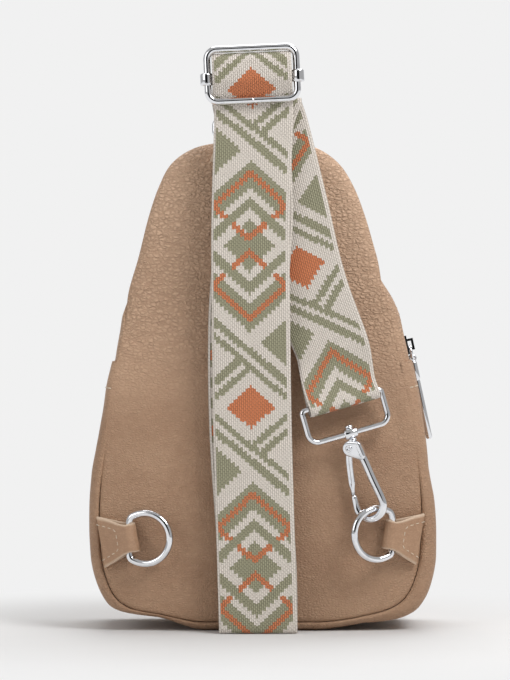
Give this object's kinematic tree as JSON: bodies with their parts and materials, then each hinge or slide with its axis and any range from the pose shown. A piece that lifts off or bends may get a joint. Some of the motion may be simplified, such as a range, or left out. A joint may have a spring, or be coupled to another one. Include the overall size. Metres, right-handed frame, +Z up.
{
  "type": "sling backpack",
  "caption": "Small teardrop leather sling backpack with a zip over the top, side D-rings and a patterned webbing strap with an adjuster and a swivel snap hook.",
  "frame": {"origin": "middle of the flat base the bag stands on", "axes": "+Z up, +X across the back to the right, -Y out of the back panel that carries the strap"},
  "size_m": [0.2146, 0.114, 0.3625],
  "materials": {
    "pebbled_leather": "pebbled, soft sheen",
    "leather_tab": "pebbled with raw light edges",
    "zip_tape": "woven tape",
    "webbing": "jacquard weave in cream, sage and terracotta",
    "polished_metal": "polished"
  },
  "bodies": {
    "bag": {"back_panel": "pebbled_leather", "front_panel": "pebbled_leather", "lower_gusset": "pebbled_leather", "zip_strip_back": "pebbled_leather", "zip_strip_front": "pebbled_leather", "zip_tape_back": "zip_tape", "zip_tape_front": "zip_tape", "zip_chain": "polished_metal", "ring_tab_left": "leather_tab", "ring_tab_right": "leather_tab", "top_tab": "leather_tab", "top_ring": "polished_metal", "shoulder_strap": "webbing", "adjuster_frame": "polished_metal", "adjuster_bar": "polished_metal"},
    "slider": {"zip_slider": "polished_metal"},
    "pull_ring": {"zip_ring": "polished_metal"},
    "pull": {"zip_pull": "polished_metal"},
    "left_ring": {"d_ring_left": "polished_metal"},
    "right_ring": {"d_ring_right": "polished_metal"},
    "bail": {"hook_bail": "polished_metal"},
    "hook": {"hook_body": "polished_metal", "gate_rivet": "polished_metal"},
    "gate": {"hook_gate": "polished_metal"}
  },
  "joints": [
    {"name": "zip_run", "type": "slide", "parent": "bag", "child": "slider", "axis": [-0.2134, 0, 0.977], "range_m": [0, 0.02]},
    {"name": "pull_ring_swing", "type": "hinge", "parent": "slider", "child": "pull_ring", "pos_m": [0.09442, 0, 0.1763], "axis": [0, -1, 0], "range_deg": [0, 110]},
    {"name": "pull_swing", "type": "hinge", "parent": "pull_ring", "child": "pull", "pos_m": [0.09615, 0, 0.16839], "axis": [0, -1, 0], "range_deg": [0, 80]},
    {"name": "left_ring_swing", "type": "hinge", "parent": "bag", "child": "left_ring", "pos_m": [-0.081, -0.05105, 0.06], "axis": [0, 0, -1], "range_deg": [-6, 150]},
    {"name": "right_ring_swing", "type": "hinge", "parent": "bag", "child": "right_ring", "pos_m": [0.081, -0.05105, 0.06], "axis": [0, 0, 1], "range_deg": [-4, 10]},
    {"name": "bail_swing", "type": "hinge", "parent": "bag", "child": "bail", "pos_m": [0.04947, -0.05708, 0.14303], "axis": [-0.938, -0.225, -0.2637], "range_deg": [-0.8, 2]},
    {"name": "hook_swivel", "type": "hinge", "parent": "bail", "child": "hook", "pos_m": [0.05515, -0.05708, 0.12281], "axis": [-0.2706, 0, 0.9627], "range_deg": [-6, 1.5]},
    {"name": "gate_swing", "type": "hinge", "parent": "hook", "child": "gate", "pos_m": [0.05537, -0.05598, 0.11373], "axis": [-0.422, -0.8988, -0.1186], "range_deg": [0, 22], "stiffness_Nm_per_rad": 0.02}
  ],
  "couplings": [
    {"joint": "right_ring_swing", "follows": "bail_swing", "ratio": 5}
  ]
}
